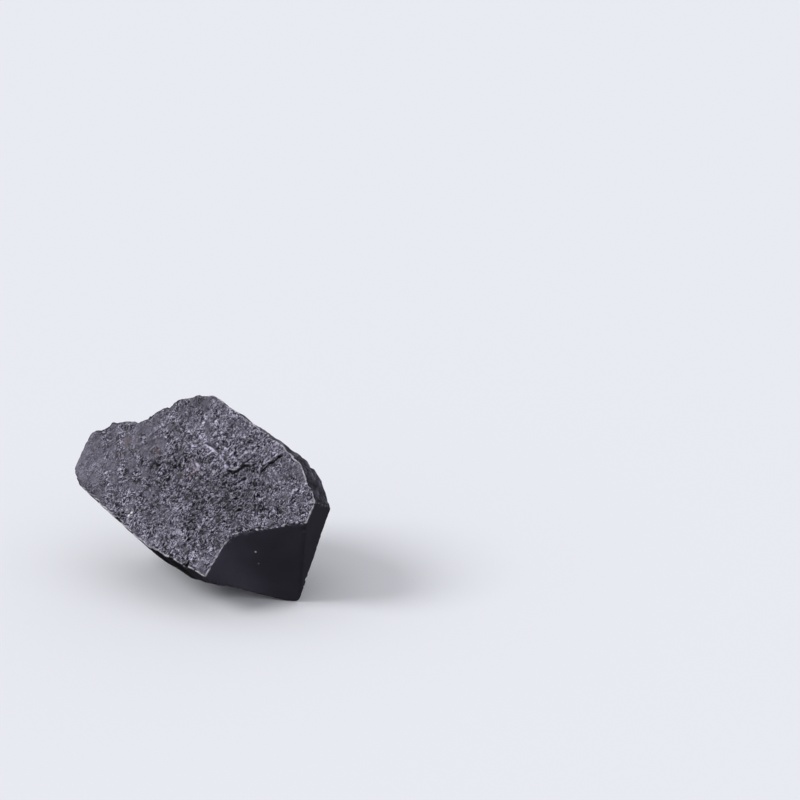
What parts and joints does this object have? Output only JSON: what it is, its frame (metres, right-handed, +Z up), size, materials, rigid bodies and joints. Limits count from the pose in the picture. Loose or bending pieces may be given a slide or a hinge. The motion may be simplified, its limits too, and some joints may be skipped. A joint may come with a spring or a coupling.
{
  "type": "shungite stone",
  "caption": "Rough broken lump of black shungite with a grainy grey crust on top, smooth dark broken faces and a flat underside to rest on.",
  "frame": {"origin": "under the middle of the stone, on the surface that it rests on", "axes": "+X along the stone's longest side, to the right as the crust is seen from the front; +Y towards the back; +Z up"},
  "size_m": [0.0848, 0.0614, 0.0568],
  "materials": {
    "shungite": "dark matte rock: a rough grey crust on top, satin black on the clean breaks"
  },
  "bodies": {
    "root": {"shungite_stone": "shungite"}
  },
  "joints": []
}
